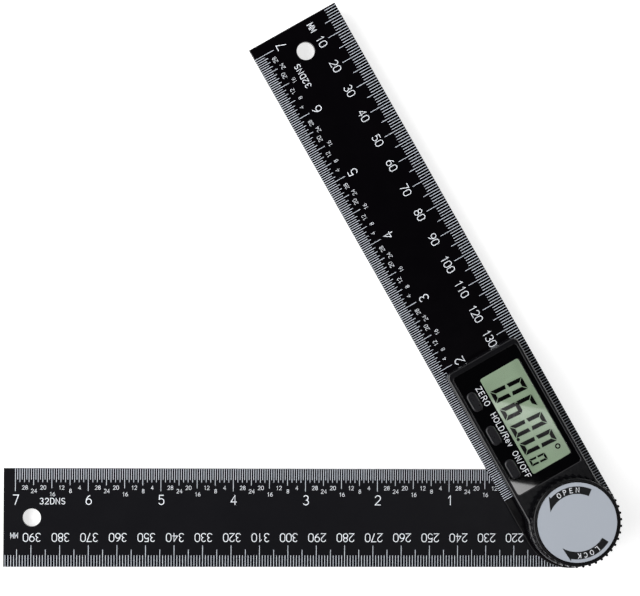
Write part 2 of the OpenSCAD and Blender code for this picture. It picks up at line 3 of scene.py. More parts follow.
import bpy
import numpy as np
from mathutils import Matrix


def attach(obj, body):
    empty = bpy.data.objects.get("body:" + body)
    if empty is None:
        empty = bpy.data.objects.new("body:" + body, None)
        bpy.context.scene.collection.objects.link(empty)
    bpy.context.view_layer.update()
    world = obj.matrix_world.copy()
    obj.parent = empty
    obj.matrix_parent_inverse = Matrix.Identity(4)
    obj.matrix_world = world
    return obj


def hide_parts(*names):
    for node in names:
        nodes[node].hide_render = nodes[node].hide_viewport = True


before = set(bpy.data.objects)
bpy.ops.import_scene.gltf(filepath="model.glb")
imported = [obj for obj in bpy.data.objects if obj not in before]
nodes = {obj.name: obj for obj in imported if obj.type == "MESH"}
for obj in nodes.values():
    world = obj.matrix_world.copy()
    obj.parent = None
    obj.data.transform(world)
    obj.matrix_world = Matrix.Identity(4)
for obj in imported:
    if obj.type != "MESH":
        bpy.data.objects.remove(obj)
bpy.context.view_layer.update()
mm = 0.001
print("frame loaded:", len(nodes), "nodes")


# camera: at the photograph's viewing angle, nearly straight above the tool
cameraSet = {
    "place": (-0.147585, 0.076687, 0.948256),
    "turn": (0.025082, -3.547238, 0.373187),  # degrees
    "lens": 151.284,
    "sensor": 36.0,
    "clip": (0.05, 50),
}
cameraData = bpy.data.cameras.new("camera")
cameraData.lens = cameraSet["lens"]
cameraData.sensor_width = cameraSet["sensor"]
cameraData.sensor_fit = "HORIZONTAL"
cameraData.clip_start, cameraData.clip_end = cameraSet["clip"]
camera = bpy.data.objects.new("camera", cameraData)
camera.location = cameraSet["place"]
camera.rotation_euler = [math.radians(a) for a in cameraSet["turn"]]
bpy.context.scene.collection.objects.link(camera)
bpy.context.scene.camera = camera


# node helpers
def linear(red, green, blue):
    # screen values 0 to 255 to the linear colour that a shader takes
    screen = np.array([red, green, blue]) / 255
    return (*np.where(screen <= 0.04045, screen / 12.92, ((screen + 0.055) / 1.055) ** 2.4), 1.0)


def shaded(colour, factor):
    # a colour made darker or paler by a factor
    return [c * factor for c in colour[:3]] + [1.0]


class Nodes:
    # a shader tree, emptied: add a node with its sockets set by name, or by number as in _0
    def __init__(self, owner, output="ShaderNodeOutputMaterial"):
        owner.use_nodes = True
        self.tree = owner.node_tree
        self.tree.nodes.clear()
        self.out = self.add(output)

    def add(self, kind, props=None, **sockets):
        node = self.tree.nodes.new(kind)
        for key, value in (props or {}).items():
            setattr(node, key, value)
        for key, value in sockets.items():
            self.set(node, key, value)
        return node

    def set(self, node, key, value):
        socket = node.inputs[int(key[1:])] if key[0] == "_" else node.inputs[key.replace("_", " ")]
        if isinstance(value, bpy.types.NodeSocket):
            self.tree.links.new(value, socket)
        else:
            socket.default_value = value


textureSet = {
    "patchDetail": 3.0, "cloudDetail": 4.0, "cloudRange": (0.3, 0.7), "grainDetail": 2.0, "grainStrength": 0.5,
    "ringDetail": 1.0, "ringDistortion": 0.4, "ringDark": 0.9, "ringStrength": 0.4,
}


def cloudRough(n, place, look):
    # roughness that follows a fine cloud, to either side of the finish's own by its drift
    cloud = n.add("ShaderNodeTexNoise", Vector=place, Scale=look["cloudScale"],
                  Detail=textureSet["cloudDetail"])
    low, high = textureSet["cloudRange"]
    rough = n.add("ShaderNodeMapRange", Value=cloud.outputs["Fac"], From_Min=low, From_Max=high,
                  To_Min=look["rough"] - look["roughDrift"], To_Max=look["rough"] + look["roughDrift"])
    return rough.outputs[0]


def finishMaterial(name, look):
    # Principled surface whose colour drifts over slow patches, whose roughness follows a finer
    # cloud, and whose bump is a grain (noise or cells) at the finish's own scale
    material = bpy.data.materials.new(name)
    n = Nodes(material)
    place = n.add("ShaderNodeTexCoord").outputs["Object"]
    if "stretch" in look:
        place = n.add("ShaderNodeMapping", Vector=place, Scale=look["stretch"]).outputs["Vector"]
    patch = n.add("ShaderNodeTexNoise", Vector=place, Scale=look["patchScale"],
                  Detail=textureSet["patchDetail"])
    colour = n.add("ShaderNodeMix", {"data_type": "RGBA"}, _0=patch.outputs["Fac"],
                   _6=shaded(look["colour"], 1 - look["drift"]), _7=shaded(look["colour"], 1 + look["drift"]))
    if look.get("cells"):
        grain = n.add("ShaderNodeTexVoronoi", Vector=place, Scale=look["grainScale"]).outputs["Distance"]
    else:
        grain = n.add("ShaderNodeTexNoise", Vector=place, Scale=look["grainScale"],
                      Detail=textureSet["grainDetail"]).outputs["Fac"]
    bump = n.add("ShaderNodeBump", Height=grain, Strength=textureSet["grainStrength"],
                 Distance=look["grainDepth"])
    shader = n.add("ShaderNodeBsdfPrincipled", Base_Color=colour.outputs[2],
                   Roughness=cloudRough(n, place, look), Normal=bump.outputs[0],
                   Metallic=look.get("metal", 0.0), IOR=look.get("ior", 1.5))
    if "coat" in look:
        # the display's clear film isn't quite level: its own normal leans by a slope along the part
        lean = n.add("ShaderNodeVectorMath", {"operation": "DOT_PRODUCT"}, _0=place, _1=look["coatTilt"])
        slope = n.add("ShaderNodeBump", Height=lean.outputs["Value"], Strength=1.0, Distance=1.0)
        n.set(shader, "Coat Weight", look["coat"])
        n.set(shader, "Coat Roughness", look["coatRough"])
        n.set(shader, "Coat Normal", slope.outputs[0])
    n.set(n.out, "Surface", shader.outputs[0])
    return material


def turnedMaterial(name, look):
    # metal faced on a lathe: rings about the pivot in colour and bump
    material = bpy.data.materials.new(name)
    n = Nodes(material)
    place = n.add("ShaderNodeTexCoord").outputs["Object"]
    rings = n.add("ShaderNodeTexWave", {"wave_type": "RINGS", "rings_direction": "Z"}, Vector=place,
                  Scale=look["ringScale"], Distortion=textureSet["ringDistortion"],
                  Detail=textureSet["ringDetail"])
    colour = n.add("ShaderNodeMix", {"data_type": "RGBA"}, _0=rings.outputs["Fac"],
                   _6=shaded(look["colour"], textureSet["ringDark"]), _7=look["colour"])
    bump = n.add("ShaderNodeBump", Height=rings.outputs["Fac"], Strength=textureSet["ringStrength"],
                 Distance=look["ringDepth"])
    shader = n.add("ShaderNodeBsdfPrincipled", Base_Color=colour.outputs[2],
                   Roughness=cloudRough(n, place, look), Normal=bump.outputs[0], Metallic=1.0)
    n.set(n.out, "Surface", shader.outputs[0])
    return material


# finishes: colours as seen on a screen, scales of patches, clouds and grain per metre, and depths
# in metres
finishes = {
    # the two blades are one black plastic: the lower blade's paler colour is painted sheen, for the extra light
    # it reflects, and the upper blade keeps the plain black
    "lowerBlackPaintedSheen": {"colour": linear(20, 20, 23), "drift": 0.1, "patchScale": 18, "cloudScale": 140, "ior": 1.28,
                   "rough": 0.24, "roughDrift": 0.03, "grainScale": 2600, "grainDepth": 0.000004},
    "upperBlack": {"colour": linear(5, 4, 6), "drift": 0.1, "patchScale": 18, "cloudScale": 140, "ior": 1.28,
                   "rough": 0.2, "roughDrift": 0.03, "grainScale": 2600, "grainDepth": 0.000003},
    "caseBlack": {"colour": linear(10, 10, 13), "drift": 0.1, "patchScale": 60, "cloudScale": 500, "ior": 1.45,
                  "rough": 0.24, "roughDrift": 0.02, "grainScale": 2400, "grainDepth": 0.000002},
    "coverBlack": {"colour": linear(24, 24, 27), "drift": 0.15, "patchScale": 60, "cloudScale": 400,
                   "rough": 0.5, "roughDrift": 0.06, "grainScale": 2400, "grainDepth": 0.00004},
    "lensBlack": {"colour": linear(3, 3, 4), "drift": 0.1, "patchScale": 40, "cloudScale": 300,
                  "rough": 0.02, "roughDrift": 0.005, "grainScale": 300, "grainDepth": 0.0000003},
    "keyRubber": {"colour": linear(22, 22, 25), "drift": 0.1, "patchScale": 150, "cloudScale": 700,
                  "rough": 0.3, "roughDrift": 0.05, "grainScale": 3500, "grainDepth": 0.00001},
    "knobBlack": {"colour": linear(8, 8, 10), "drift": 0.15, "patchScale": 90, "cloudScale": 500, "ior": 1.33,
                  "rough": 0.18, "roughDrift": 0.04, "grainScale": 2600, "grainDepth": 0.00001},
    "labelGrey": {"colour": linear(168, 174, 183), "drift": 0.02, "patchScale": 60, "cloudScale": 900,
                  "rough": 0.38, "roughDrift": 0.03, "grainScale": 5000, "grainDepth": 0.000006},
    "lcdGlass": {"colour": linear(149, 170, 143), "drift": 0.01, "patchScale": 25, "cloudScale": 200,
                 "ior": 1.2, "rough": 0.5, "roughDrift": 0.03, "grainScale": 900, "grainDepth": 0.0000002,
                 "coat": 0.7, "coatRough": 0.02, "coatTilt": (0.0, 0.029, 0.0)},
    "segmentBlack": {"colour": linear(3, 3, 3), "drift": 0.1, "patchScale": 90, "cloudScale": 300,
                     "ior": 1.1, "rough": 0.5, "roughDrift": 0.04, "grainScale": 4000,
                     "grainDepth": 0.0000002, "coat": 0.17, "coatRough": 0.02,
                     "coatTilt": (0.0, 0.029, 0.0)},
    "whiteInk": {"colour": linear(238, 242, 248), "drift": 0.05, "patchScale": 90, "cloudScale": 600,
                 "rough": 0.5, "roughDrift": 0.08, "grainScale": 3000, "grainDepth": 0.000004},
    "tickInk": {"colour": linear(206, 212, 222), "drift": 0.05, "patchScale": 90, "cloudScale": 600,
                "rough": 0.5, "roughDrift": 0.08, "grainScale": 3000, "grainDepth": 0.000004},
    "wordInk": {"colour": linear(230, 233, 238), "drift": 0.05, "patchScale": 90, "cloudScale": 600,
                "rough": 0.5, "roughDrift": 0.08, "grainScale": 3000, "grainDepth": 0.000004},
    "blackInk": {"colour": linear(16, 17, 19), "drift": 0.1, "patchScale": 90, "cloudScale": 600,
                 "rough": 0.4, "roughDrift": 0.05, "grainScale": 3000, "grainDepth": 0.000004},
    "nylon": {"colour": linear(222, 222, 214), "drift": 0.04, "patchScale": 80, "cloudScale": 300,
              "rough": 0.45, "roughDrift": 0.06, "grainScale": 1800, "grainDepth": 0.00002},
    "zebraPink": {"colour": linear(196, 130, 128), "drift": 0.08, "patchScale": 300, "cloudScale": 700,
                  "rough": 0.6, "roughDrift": 0.06, "grainScale": 2000, "grainDepth": 0.00002},
    "boardGreen": {"colour": linear(26, 92, 54), "drift": 0.25, "patchScale": 420, "cloudScale": 600,
                   "rough": 0.28, "roughDrift": 0.06, "grainScale": 700, "grainDepth": 0.00002, "cells": True},
    "chipBlack": {"colour": linear(36, 36, 38), "drift": 0.12, "patchScale": 500, "cloudScale": 900,
                  "rough": 0.55, "roughDrift": 0.06, "grainScale": 4000, "grainDepth": 0.00003},
    "plated": {"colour": linear(190, 190, 192), "drift": 0.06, "patchScale": 500, "cloudScale": 900,
               "rough": 0.26, "roughDrift": 0.06, "grainScale": 2400, "grainDepth": 0.00001, "metal": 1.0},
    "springSteel": {"colour": linear(205, 203, 198), "drift": 0.04, "patchScale": 300, "cloudScale": 500,
                    "rough": 0.2, "roughDrift": 0.05, "grainScale": 1200, "grainDepth": 0.00001,
                    "metal": 1.0, "stretch": (1.0, 6.0, 1.0)},
}
materials = {name: finishMaterial(name, look) for name, look in finishes.items()}
turnedFinishes = {
    "turnedSteel": {"colour": linear(196, 198, 202), "ringScale": 1600, "ringDepth": 0.00002,
                    "cloudScale": 500, "rough": 0.3, "roughDrift": 0.06},
    "turnedBrass": {"colour": linear(214, 186, 118), "ringScale": 1600, "ringDepth": 0.00002,
                    "cloudScale": 500, "rough": 0.28, "roughDrift": 0.06},
}
materials.update({name: turnedMaterial(name, look) for name, look in turnedFinishes.items()})

nodeFinish = {
    "lowerBlackPaintedSheen": ["lower_blade"],
    "upperBlack": ["upper_blade"],
    "caseBlack": ["housing"],
    "coverBlack": ["battery_cover"],
    "keyRubber": ["zero_button", "hold_button", "power_button"],
    "knobBlack": ["knob_body"],
    "labelGrey": ["knob_label"],
    "lcdGlass": ["lcd_panel"],
    "nylon": ["lcd_holder", "spacer_washer"],
    "zebraPink": ["zebra_strip"],
    "boardGreen": ["main_board", "encoder_rotor"],
    "chipBlack": ["controller_chip"],
    "plated": ["hub_screws", "board_screws", "housing_screws", "dome_switches"],
    "springSteel": ["battery_cell", "positive_contact", "negative_contact"],
    "turnedSteel": ["pivot_hub", "clamp_washer"],
    "turnedBrass": ["pivot_bush", "knob_nut"],
}
for finish, members in nodeFinish.items():
    for member in members:
        nodes[member].data.materials.clear()
        nodes[member].data.materials.append(materials[finish])
print("finishes set:", len(materials))


# shapes worked out as whole arrays
def toWorld(points, turn):
    # from an arm's own millimetres (across, along, up) to the tool's metres: the arm is
    # turned about the pivot by this many degrees from +Y
    c, s = math.cos(math.radians(turn)), math.sin(math.radians(turn))
    x, y, z = np.moveaxis(np.asarray(points, float), -1, 0)
    return np.stack([x * c - y * s, x * s + y * c, z], -1) * mm


def railPrism(left, right, base, top, ring=False):
    # a flat strip between two rails of matching points, given a thickness: at each station
    # four corners (left low, right low, right high, left high), joined to the next station by
    # four faces, with a face over each end unless the rails close into a ring
    n = len(left)
    low, high = np.full((n, 1), base), np.full((n, 1), top)
    corners = np.stack([np.hstack([left, low]), np.hstack([right, low]),
                        np.hstack([right, high]), np.hstack([left, high])], 1)
    station = np.arange(n if ring else n - 1)[:, None]
    side = np.arange(4)[None]
    here, there = station * 4, (station + 1) % n * 4
    quads = np.stack([here + side, here + (side + 1) % 4, there + (side + 1) % 4, there + side], -1)
    quads = quads.reshape(-1, 4)
    if not ring:
        quads = np.vstack([quads, [3, 2, 1, 0], np.arange(4) + 4 * (n - 1)])
    return corners.reshape(-1, 3), quads


penSet = {"endAngles": [80, 55, 28], "mitreLimit": 0.5, "turnStep": 24, "closest": 0.01}


def strokePrism(line, width, base, top):
    # a pen stroke along a line of points: rails half a width to each side, mitred at corners,
    # and rounded off at both ends by stations that follow a quarter circle
    ring = len(line) > 2 and np.allclose(line[0], line[-1])
    line = line[:-1] if ring else line
    steps = np.diff(np.vstack([line[-1:], line, line[:1]]) if ring else line, axis=0)
    steps = steps / np.linalg.norm(steps, axis=1, keepdims=True)
    before = steps[:-1] if ring else np.vstack([steps[:1], steps])
    after = steps[1:] if ring else np.vstack([steps, steps[-1:]])
    mean = before + after
    mean = mean / np.linalg.norm(mean, axis=1, keepdims=True)
    mitre = 1 / np.maximum(np.sum(mean * after, axis=1), penSet["mitreLimit"])
    half = width / 2 * mitre
    if not ring:
        bend = np.radians(penSet["endAngles"])[:, None]
        head = line[0] - steps[0] * width / 2 * np.sin(bend)
        tail = line[-1] + steps[-1] * width / 2 * np.sin(bend[::-1])
        line = np.vstack([head, line, tail])
        mean = np.vstack([np.repeat(mean[:1], len(bend), 0), mean, np.repeat(mean[-1:], len(bend), 0)])
        ends = width / 2 * np.cos(bend[:, 0])
        half = np.concatenate([ends, half, ends[::-1]])
    normal = np.stack([-mean[:, 1], mean[:, 0]], 1) * half[:, None]
    return railPrism(line + normal, line - normal, base, top, ring)


def joined(shapes):
    # several vertex and face arrays as one
    shapes = list(shapes)
    starts = np.cumsum([0] + [len(v) for v, f in shapes[:-1]])
    return (np.vstack([v for v, f in shapes]),
            np.vstack([f + s for (v, f), s in zip(shapes, starts)]))


def addPiece(name, mesh, body):
    # the mesh as a piece of the tool, riding on one of its bodies
    piece = bpy.data.objects.new(name, mesh)
    bpy.context.scene.collection.objects.link(piece)
    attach(piece, body)
    return piece


def makePiece(name, verts, faces, finish, body):
    mesh = bpy.data.meshes.new(name)
    mesh.from_pydata(verts, [], faces.tolist())
    mesh.materials.append(materials[finish])
    mesh.update()
    return addPiece(name, mesh, body)


# single-stroke letters in a box one unit high. Each has its width and its strokes; a
# stroke is a row of points, and six numbers stand for an arc: centre, radii, from and to
glyphs = {
    "0": (0.58, [[(0.29, 0.7, 0.29, 0.3, 0, 180), (0.29, 0.3, 0.29, 0.3, 180, 360), (0.58, 0.7)]]),
    "1": (0.58, [[(0.17, 0.76), (0.38, 1), (0.38, 0)]]),
    "2": (0.58, [[(0.29, 0.72, 0.28, 0.28, 165, -38), (0, 0), (0.58, 0)]]),
    "3": (0.56, [[(0.27, 0.75, 0.25, 0.25, 150, -80), (0.27, 0.25, 0.29, 0.26, 82, -150)]]),
    "4": (0.6, [[(0.43, 0), (0.43, 1), (0, 0.3), (0.6, 0.3)]]),
    "5": (0.56, [[(0.5, 1), (0.08, 1), (0.05, 0.55), (0.27, 0.32, 0.29, 0.32, 122, -148)]]),
    "6": (0.58, [[(0.29, 0.3, 0.29, 0.3, 0, 360)], [(0.6, 0.3, 0.6, 0.7, 180, 108)]]),
    "7": (0.56, [[(0, 1), (0.56, 1), (0.2, 0)]]),
    "8": (0.56, [[(0.28, 0.76, 0.24, 0.24, -90, 270)], [(0.28, 0.27, 0.28, 0.27, 90, 450)]]),
    "9": (0.58, [[(0.29, 0.7, 0.29, 0.3, 0, 360)], [(-0.02, 0.7, 0.6, 0.7, 0, -72)]]),
    "/": (0.34, [[(0, -0.04), (0.34, 1.04)]]),
    "C": (0.64, [[(0.36, 0.5, 0.36, 0.5, 48, 312)]]),
    "D": (0.6, [[(0, 0), (0, 1), (0.25, 1), (0.25, 0.62, 0.36, 0.38, 80, 0), (0.25, 0.38, 0.36, 0.38, 0, -80),
                 (0.25, 0), (0, 0)]]),
    "E": (0.54, [[(0.54, 1), (0, 1), (0, 0), (0.54, 0)], [(0, 0.52), (0.46, 0.52)]]),
    "F": (0.5, [[(0, 0), (0, 1), (0.52, 1)], [(0, 0.5), (0.42, 0.5)]]),
    "H": (0.62, [[(0, 0), (0, 1)], [(0.62, 0), (0.62, 1)], [(0, 0.52), (0.62, 0.52)]]),
    "K": (0.6, [[(0, 0), (0, 1)], [(0.56, 1), (0.02, 0.38)], [(0.2, 0.58), (0.6, 0)]]),
    "L": (0.48, [[(0, 1), (0, 0), (0.5, 0)]]),
    "M": (0.7, [[(0, 0), (0, 1), (0.35, 0.3), (0.7, 1), (0.7, 0)]]),
    "N": (0.62, [[(0, 0), (0, 1), (0.62, 0), (0.62, 1)]]),
    "O": (0.72, [[(0.36, 0.5, 0.36, 0.5, 0, 360)]]),
    "P": (0.58, [[(0, 0), (0, 1), (0.32, 1), (0.32, 0.74, 0.26, 0.26, 80, -80), (0.32, 0.48), (0, 0.48)]]),
    "R": (0.6, [[(0, 0), (0, 1), (0.34, 1), (0.34, 0.75, 0.25, 0.25, 80, -80), (0.34, 0.5), (0, 0.5)],
                [(0.32, 0.5), (0.62, 0)]]),
    "S": (0.56, [[(0.28, 0.75, 0.26, 0.25, 35, 262), (0.28, 0.25, 0.28, 0.26, 82, -148)]]),
    "Z": (0.6, [[(0, 1), (0.6, 1), (0, 0), (0.6, 0)]]),
    "e": (0.5, [[(0, 0.36), (0.5, 0.36), (0.25, 0.36, 0.25, 0.36, 20, 315)]]),
    "v": (0.46, [[(0, 0.72), (0.23, 0), (0.46, 0.72)]]),
}


def strokePoints(stroke, turnStep):
    # a stroke as one row of points: those given, and for each arc its centre plus its radii
    # times (cosine, sine) of an angle that goes by about turnStep degrees; points that all
    # but meet are one
    parts = []
    for item in stroke:
        if len(item) == 2:
            parts.append(np.array([item], float))
            continue
        x, y, rx, ry, start, end = item
        angle = np.radians(np.linspace(start, end, max(3, 1 + round(abs(end - start) / turnStep))))
        parts.append(np.stack([x + rx * np.cos(angle), y + ry * np.sin(angle)], 1))
    line = np.vstack(parts)
    keep = np.concatenate([[True], np.linalg.norm(np.diff(line, axis=0), axis=1) > penSet["closest"]])
    return line[keep]


def writeText(text, centre, up, look, level, span=None):
    # one line of letters as raised ink: each stroke's points are carried from the letter's box
    # to the place by centre + along * reading direction + height * up direction; a line with a
    # span finds its own gap, and no two tops share a plane
    core = look["height"] - look["stroke"]
    spread = look.get("spread", 1.0)
    widths = [glyphs[letter][0] * core * spread for letter in text]
    gap = look.get("gap", 0) + look["stroke"]
    if span is not None:
        gap = (span - look["stroke"] - sum(widths)) / (len(text) - 1)
    total = sum(widths) + gap * (len(text) - 1)
    up = np.array(up, float) / np.linalg.norm(up)
    along = np.array([up[1], -up[0]])
    shapes, start, lift = [], -total / 2, 0.0
    liftStep, liftReach = look["thick"] / 8, look["thick"] / 2
    for letter, width in zip(text, widths):
        for stroke in glyphs[letter][1]:
            line = strokePoints(stroke, look.get("turnStep", penSet["turnStep"])) * [core * spread, core]
            line = np.array(centre) + (line[:, :1] + start) * along + (line[:, 1:] - core / 2) * up
            top = level + look["thick"] + lift
            shapes.append(strokePrism(line, look["stroke"], level - look["sunk"], top))
            lift = (lift + liftStep) % liftReach
        start += width + gap
    return shapes


def tickBars(along, lengths, side, look, level):
    # ruler ticks as closed bars of three stations, all at once: well down the blade's broken
    # edge, at its top, and at the tick's inner end; each station has four corners, which are
    # (half a width either way) by (sunk, raised)
    n, drop = len(along), look["edge"] * look["edgeShare"]
    across = np.stack([np.full(n, look["half"] - look["edge"] + drop),
                       np.full(n, look["half"] - look["edge"]), look["half"] - lengths], 1)
    height = np.tile([level - drop, level, level], (n, 1))
    way = np.array([-1, 1, 1, -1]) * side
    rise = np.array([-look["sunk"], -look["sunk"], look["thick"], look["thick"]])
    x = side * np.repeat(across[:, :, None], 4, 2)
    y = along[:, None, None] + np.broadcast_to(way * look["width"] / 2, x.shape)
    z = height[:, :, None] + rise
    here, there = np.arange(4), (np.arange(4) + 1) % 4
    quads = np.vstack([np.stack([here + s, here + s + 4, there + s + 4, there + s], 1) for s in (0, 4)]
                      + [[[0, 1, 2, 3], [11, 10, 9, 8]]])
    corners = np.stack([x, y, z], -1).reshape(-1, 3)
    return corners, (quads[None] + 12 * np.arange(n)[:, None, None]).reshape(-1, 4)


# the scales: millimetres along the outer edge, inches along the inner edge
scaleSet = {
    "ink": {"thick": 0.03, "sunk": 0.01},
    "tick": {"edge": 0.25, "edgeShare": 0.85, "width": 0.19},
    "millimetre": {"one": 4.16, "five": 6.16, "ten": 7.66, "digits": 10.38, "height": 3.1, "stroke": 0.25,
                   "gap": 0.3},
    "inch": {"zero": 17.49, "step": 25.4, "parts": 32, "odd": 3.87, "even": 4.78, "eighth": 5.83, "half": 6.87,
             "whole": 7.88, "digits": 10.92, "height": 3.55, "stroke": 0.28, "gap": 0.4},
    "small": {"height": 1.5, "gap": 0.2, "turnStep": 36, "slipShare": 0.8,
              "from": {4: 6.64, 12: 6.64, 20: 6.64, 28: 6.64, 8: 7.84, 24: 7.84, 16: 8.94}},
    "unit": {"height": 1.95, "gap": 0.2, "spread": 0.78, "across": 11.0, "along": 3.8},
    "parts": {"height": 2.3, "stroke": 0.24, "across": 11.6, "along": 17.3, "span": 8.95},
    "half": 17.25, "tip": 199.4, "lastInch": 7, "pivotMark": 200,
}
# each arm's own run of marks, and its slips: how far the real print sits from its even place
arms = {
    "upper": {"body": "upper_arm", "turn": 30, "level": 6.25, "outer": 1, "labels": range(10, 131, 10),
              "ticks": np.arange(1, 200), "way": -1, "tickSlip": -0.39, "inches": range(2, 8),
              "slip": -0.36, "labelSlip": 0.16, "inchSlip": -0.08, "partsSlip": (0.7, 0.24),
              "unitSize": 1.28, "unitStroke": 0.31, "smallStroke": 0.12},
    "lower": {"body": "lower_arm", "turn": 90, "level": 3.0, "outer": -1, "labels": range(220, 391, 10),
              "ticks": np.arange(201, 400), "way": 1, "tickSlip": -0.26, "inches": range(1, 8),
              "slip": -0.05, "labelSlip": -0.3, "inchSlip": -0.2, "partsSlip": (0.2, 0.25),
              "unitSize": 1.08, "unitStroke": 0.22, "smallStroke": 0.14},
}


def markPlace(arm, mark):
    # how far along an arm a millimetre mark is: its distance from the mark at the pivot
    return arm["way"] * (mark - scaleSet["pivotMark"]) + arm["tickSlip"]


def armPrint(arm):
    # one arm's ticks, at equal steps along both edges, and its figures at their own depths from
    # those edges; the print sits a little off the blade's middle, by its slip across the arm
    ink, mil, inch = scaleSet["ink"], scaleSet["millimetre"], scaleSet["inch"]
    half, tip = scaleSet["half"], scaleSet["tip"]
    outer, level, slip = arm["outer"], arm["level"], arm["slip"]
    outerMiddle, innerMiddle = outer * half + slip, -outer * half + slip
    tick = {**scaleSet["tick"], **ink, "half": half}
    marks = arm["ticks"]
    lengths = np.where(marks % 10 == 0, mil["ten"], np.where(marks % 5 == 0, mil["five"], mil["one"]))
    ticks = [tickBars(markPlace(arm, marks), lengths - outer * slip, outer, tick, level)]
    part = np.arange(scaleSet["lastInch"] * inch["parts"] + 1)
    kind = part % inch["parts"]
    lengths = np.select([kind == 0, kind == 16, kind % 16 == 8, kind % 2 == 0],
                        [inch["whole"], inch["half"], inch["eighth"], inch["even"]], inch["odd"])
    ticks.append(tickBars(inch["zero"] + part * inch["step"] / inch["parts"], lengths + outer * slip, -outer,
                          tick, level))
    shapes = []
    for mark in arm["labels"]:
        place = (outerMiddle - outer * mil["digits"], markPlace(arm, mark) + arm["labelSlip"])
        shapes += writeText(str(mark), place, (outer, 0), {**mil, **ink}, level)
    for mark in arm["inches"]:
        place = (innerMiddle + outer * inch["digits"], inch["zero"] + mark * inch["step"] + arm["inchSlip"])
        shapes += writeText(str(mark), place, (-outer, 0), {**inch, **ink}, level)
    small = {**scaleSet["small"], "stroke": arm["smallStroke"]}
    smallSlip = arm["inchSlip"] * small["slipShare"]
    for whole in range(arm["inches"][0] - 1, scaleSet["lastInch"]):
        for sub, depth in small["from"].items():
            along = inch["zero"] + (whole + sub / inch["parts"]) * inch["step"] + smallSlip
            place = (innerMiddle + outer * depth, along)
            shapes += writeText(str(sub), place, (-outer, 0), {**small, **ink}, level)
    unit, parts = scaleSet["unit"], scaleSet["parts"]
    unit = {**unit, "height": unit["height"] * arm["unitSize"], "stroke": arm["unitStroke"]}
    shapes += writeText("MM", (outerMiddle - outer * unit["across"], tip - unit["along"]), (outer, 0),
                        {**unit, **ink}, level)
    across, along = arm["partsSlip"]
    place = (innerMiddle + outer * parts["across"] + across, tip - parts["along"] + along)
    shapes += writeText("32DNS", place, (-outer, 0), {**parts, **ink}, level, parts["span"])
    return joined(ticks), joined(shapes)


for armName, arm in arms.items():
    for kind, finish, (verts, faces) in zip(("ticks", "print"), ("tickInk", "whiteInk"), armPrint(arm)):
        makePiece(armName + "_scale_" + kind, toWorld(verts, arm["turn"]), faces, finish, arm["body"])
        print(armName, "scale", kind + ":", len(faces), "faces")


# the lens: black plate with a window and three key openings, and a clear pane
def roundedOutline(centre, size, radius, steps=8):
    # a rounded rectangle as one closed row of points: four quarter circles about the corners
    angle = np.radians(np.arange(4)[:, None] * 90 + np.linspace(0, 90, steps)[None])
    sign = np.array([(1, 1), (-1, 1), (-1, -1), (1, -1)])[:, None]
    inner = np.array(size) / 2 - radius
    ring = sign * inner + radius * np.stack([np.cos(angle), np.sin(angle)], -1)
    return ring.reshape(-1, 2) + np.array(centre)


def platePiece(name, outlines, base, top, edge, turn, finish, body):
    # a flat plate filled between outlines, the first one its rim and the others holes, with a
    # small round on every edge
    curve = bpy.data.curves.new(name, "CURVE")
    curve.dimensions = "2D"
    curve.fill_mode = "BOTH"
    for outline in outlines:
        spline = curve.splines.new("POLY")
        spline.points.add(len(outline) - 1)
        flat = np.hstack([outline, np.zeros((len(outline), 1)), np.ones((len(outline), 1))])
        spline.points.foreach_set("co", flat.ravel())
        spline.use_cyclic_u = True
    curve.extrude = (top - base) / 2 - edge
    curve.bevel_depth = edge
    curve.bevel_resolution = lensSet["roundSteps"]
    curve.offset = -edge
    drawn = bpy.data.objects.new(name + "_drawn", curve)
    bpy.context.scene.collection.objects.link(drawn)
    graph = bpy.context.evaluated_depsgraph_get()
    mesh = bpy.data.meshes.new_from_object(drawn.evaluated_get(graph))
    bpy.data.objects.remove(drawn)
    verts = np.empty(len(mesh.vertices) * 3)
    mesh.vertices.foreach_get("co", verts)
    verts = verts.reshape(-1, 3) + [0, 0, (base + top) / 2]
    mesh.vertices.foreach_set("co", toWorld(verts, turn).ravel())
    mesh.name = name
    mesh.materials.clear()
    mesh.materials.append(materials[finish])
    mesh.update()
    return addPiece(name, mesh, body)


lensSet = {
    "centre": (0, 40.8), "size": (25.5, 47.0), "corner": 1.0, "base": 12.6, "top": 13.8, "edge": 0.12,
    "roundSteps": 2,
    "window": {"centre": (3.25, 40.35), "size": (15.4, 38.2), "corner": 0.8},
    "keys": {"across": -9.9, "along": (53.57, 40.07, 26.57), "size": (3.7, 7.4), "corner": 1.65},
    "pane": {"fit": 0.02, "base": 12.9, "edge": 0.05, "colour": linear(20, 20, 20), "rough": 0.03,
             "alpha": 0.06},
}


def clearPane(pane):
    # the clear plastic in the window: mostly see-through, with its own shine
    material = bpy.data.materials.new("clearPane")
    n = Nodes(material)
    shader = n.add("ShaderNodeBsdfPrincipled", Base_Color=pane["colour"], Roughness=pane["rough"],
                   Alpha=pane["alpha"])
    n.set(n.out, "Surface", shader.outputs[0])
    return material


window, keyHoles, pane = lensSet["window"], lensSet["keys"], lensSet["pane"]
upperTurn = arms["upper"]["turn"]
materials["clearPane"] = clearPane(pane)
outlines = [roundedOutline(lensSet["centre"], lensSet["size"], lensSet["corner"]),
            roundedOutline(window["centre"], window["size"], window["corner"])]
outlines += [roundedOutline((keyHoles["across"], along), keyHoles["size"], keyHoles["corner"])
             for along in keyHoles["along"]]
lensPlate = platePiece("lens_plate", outlines, lensSet["base"], lensSet["top"], lensSet["edge"],
                       upperTurn, "lensBlack", "upper_arm")
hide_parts("display_lens")
# the real plate is clear over its print, so it shades nothing under it
lensPlate.visible_shadow = False
lensPlate.visible_diffuse = False
paneSize = np.array(window["size"]) - 2 * pane["fit"]
platePiece("lens_window", [roundedOutline(window["centre"], paneSize, window["corner"])], pane["base"],
           lensSet["top"], pane["edge"], upperTurn, "clearPane", "upper_arm")
print("lens made")


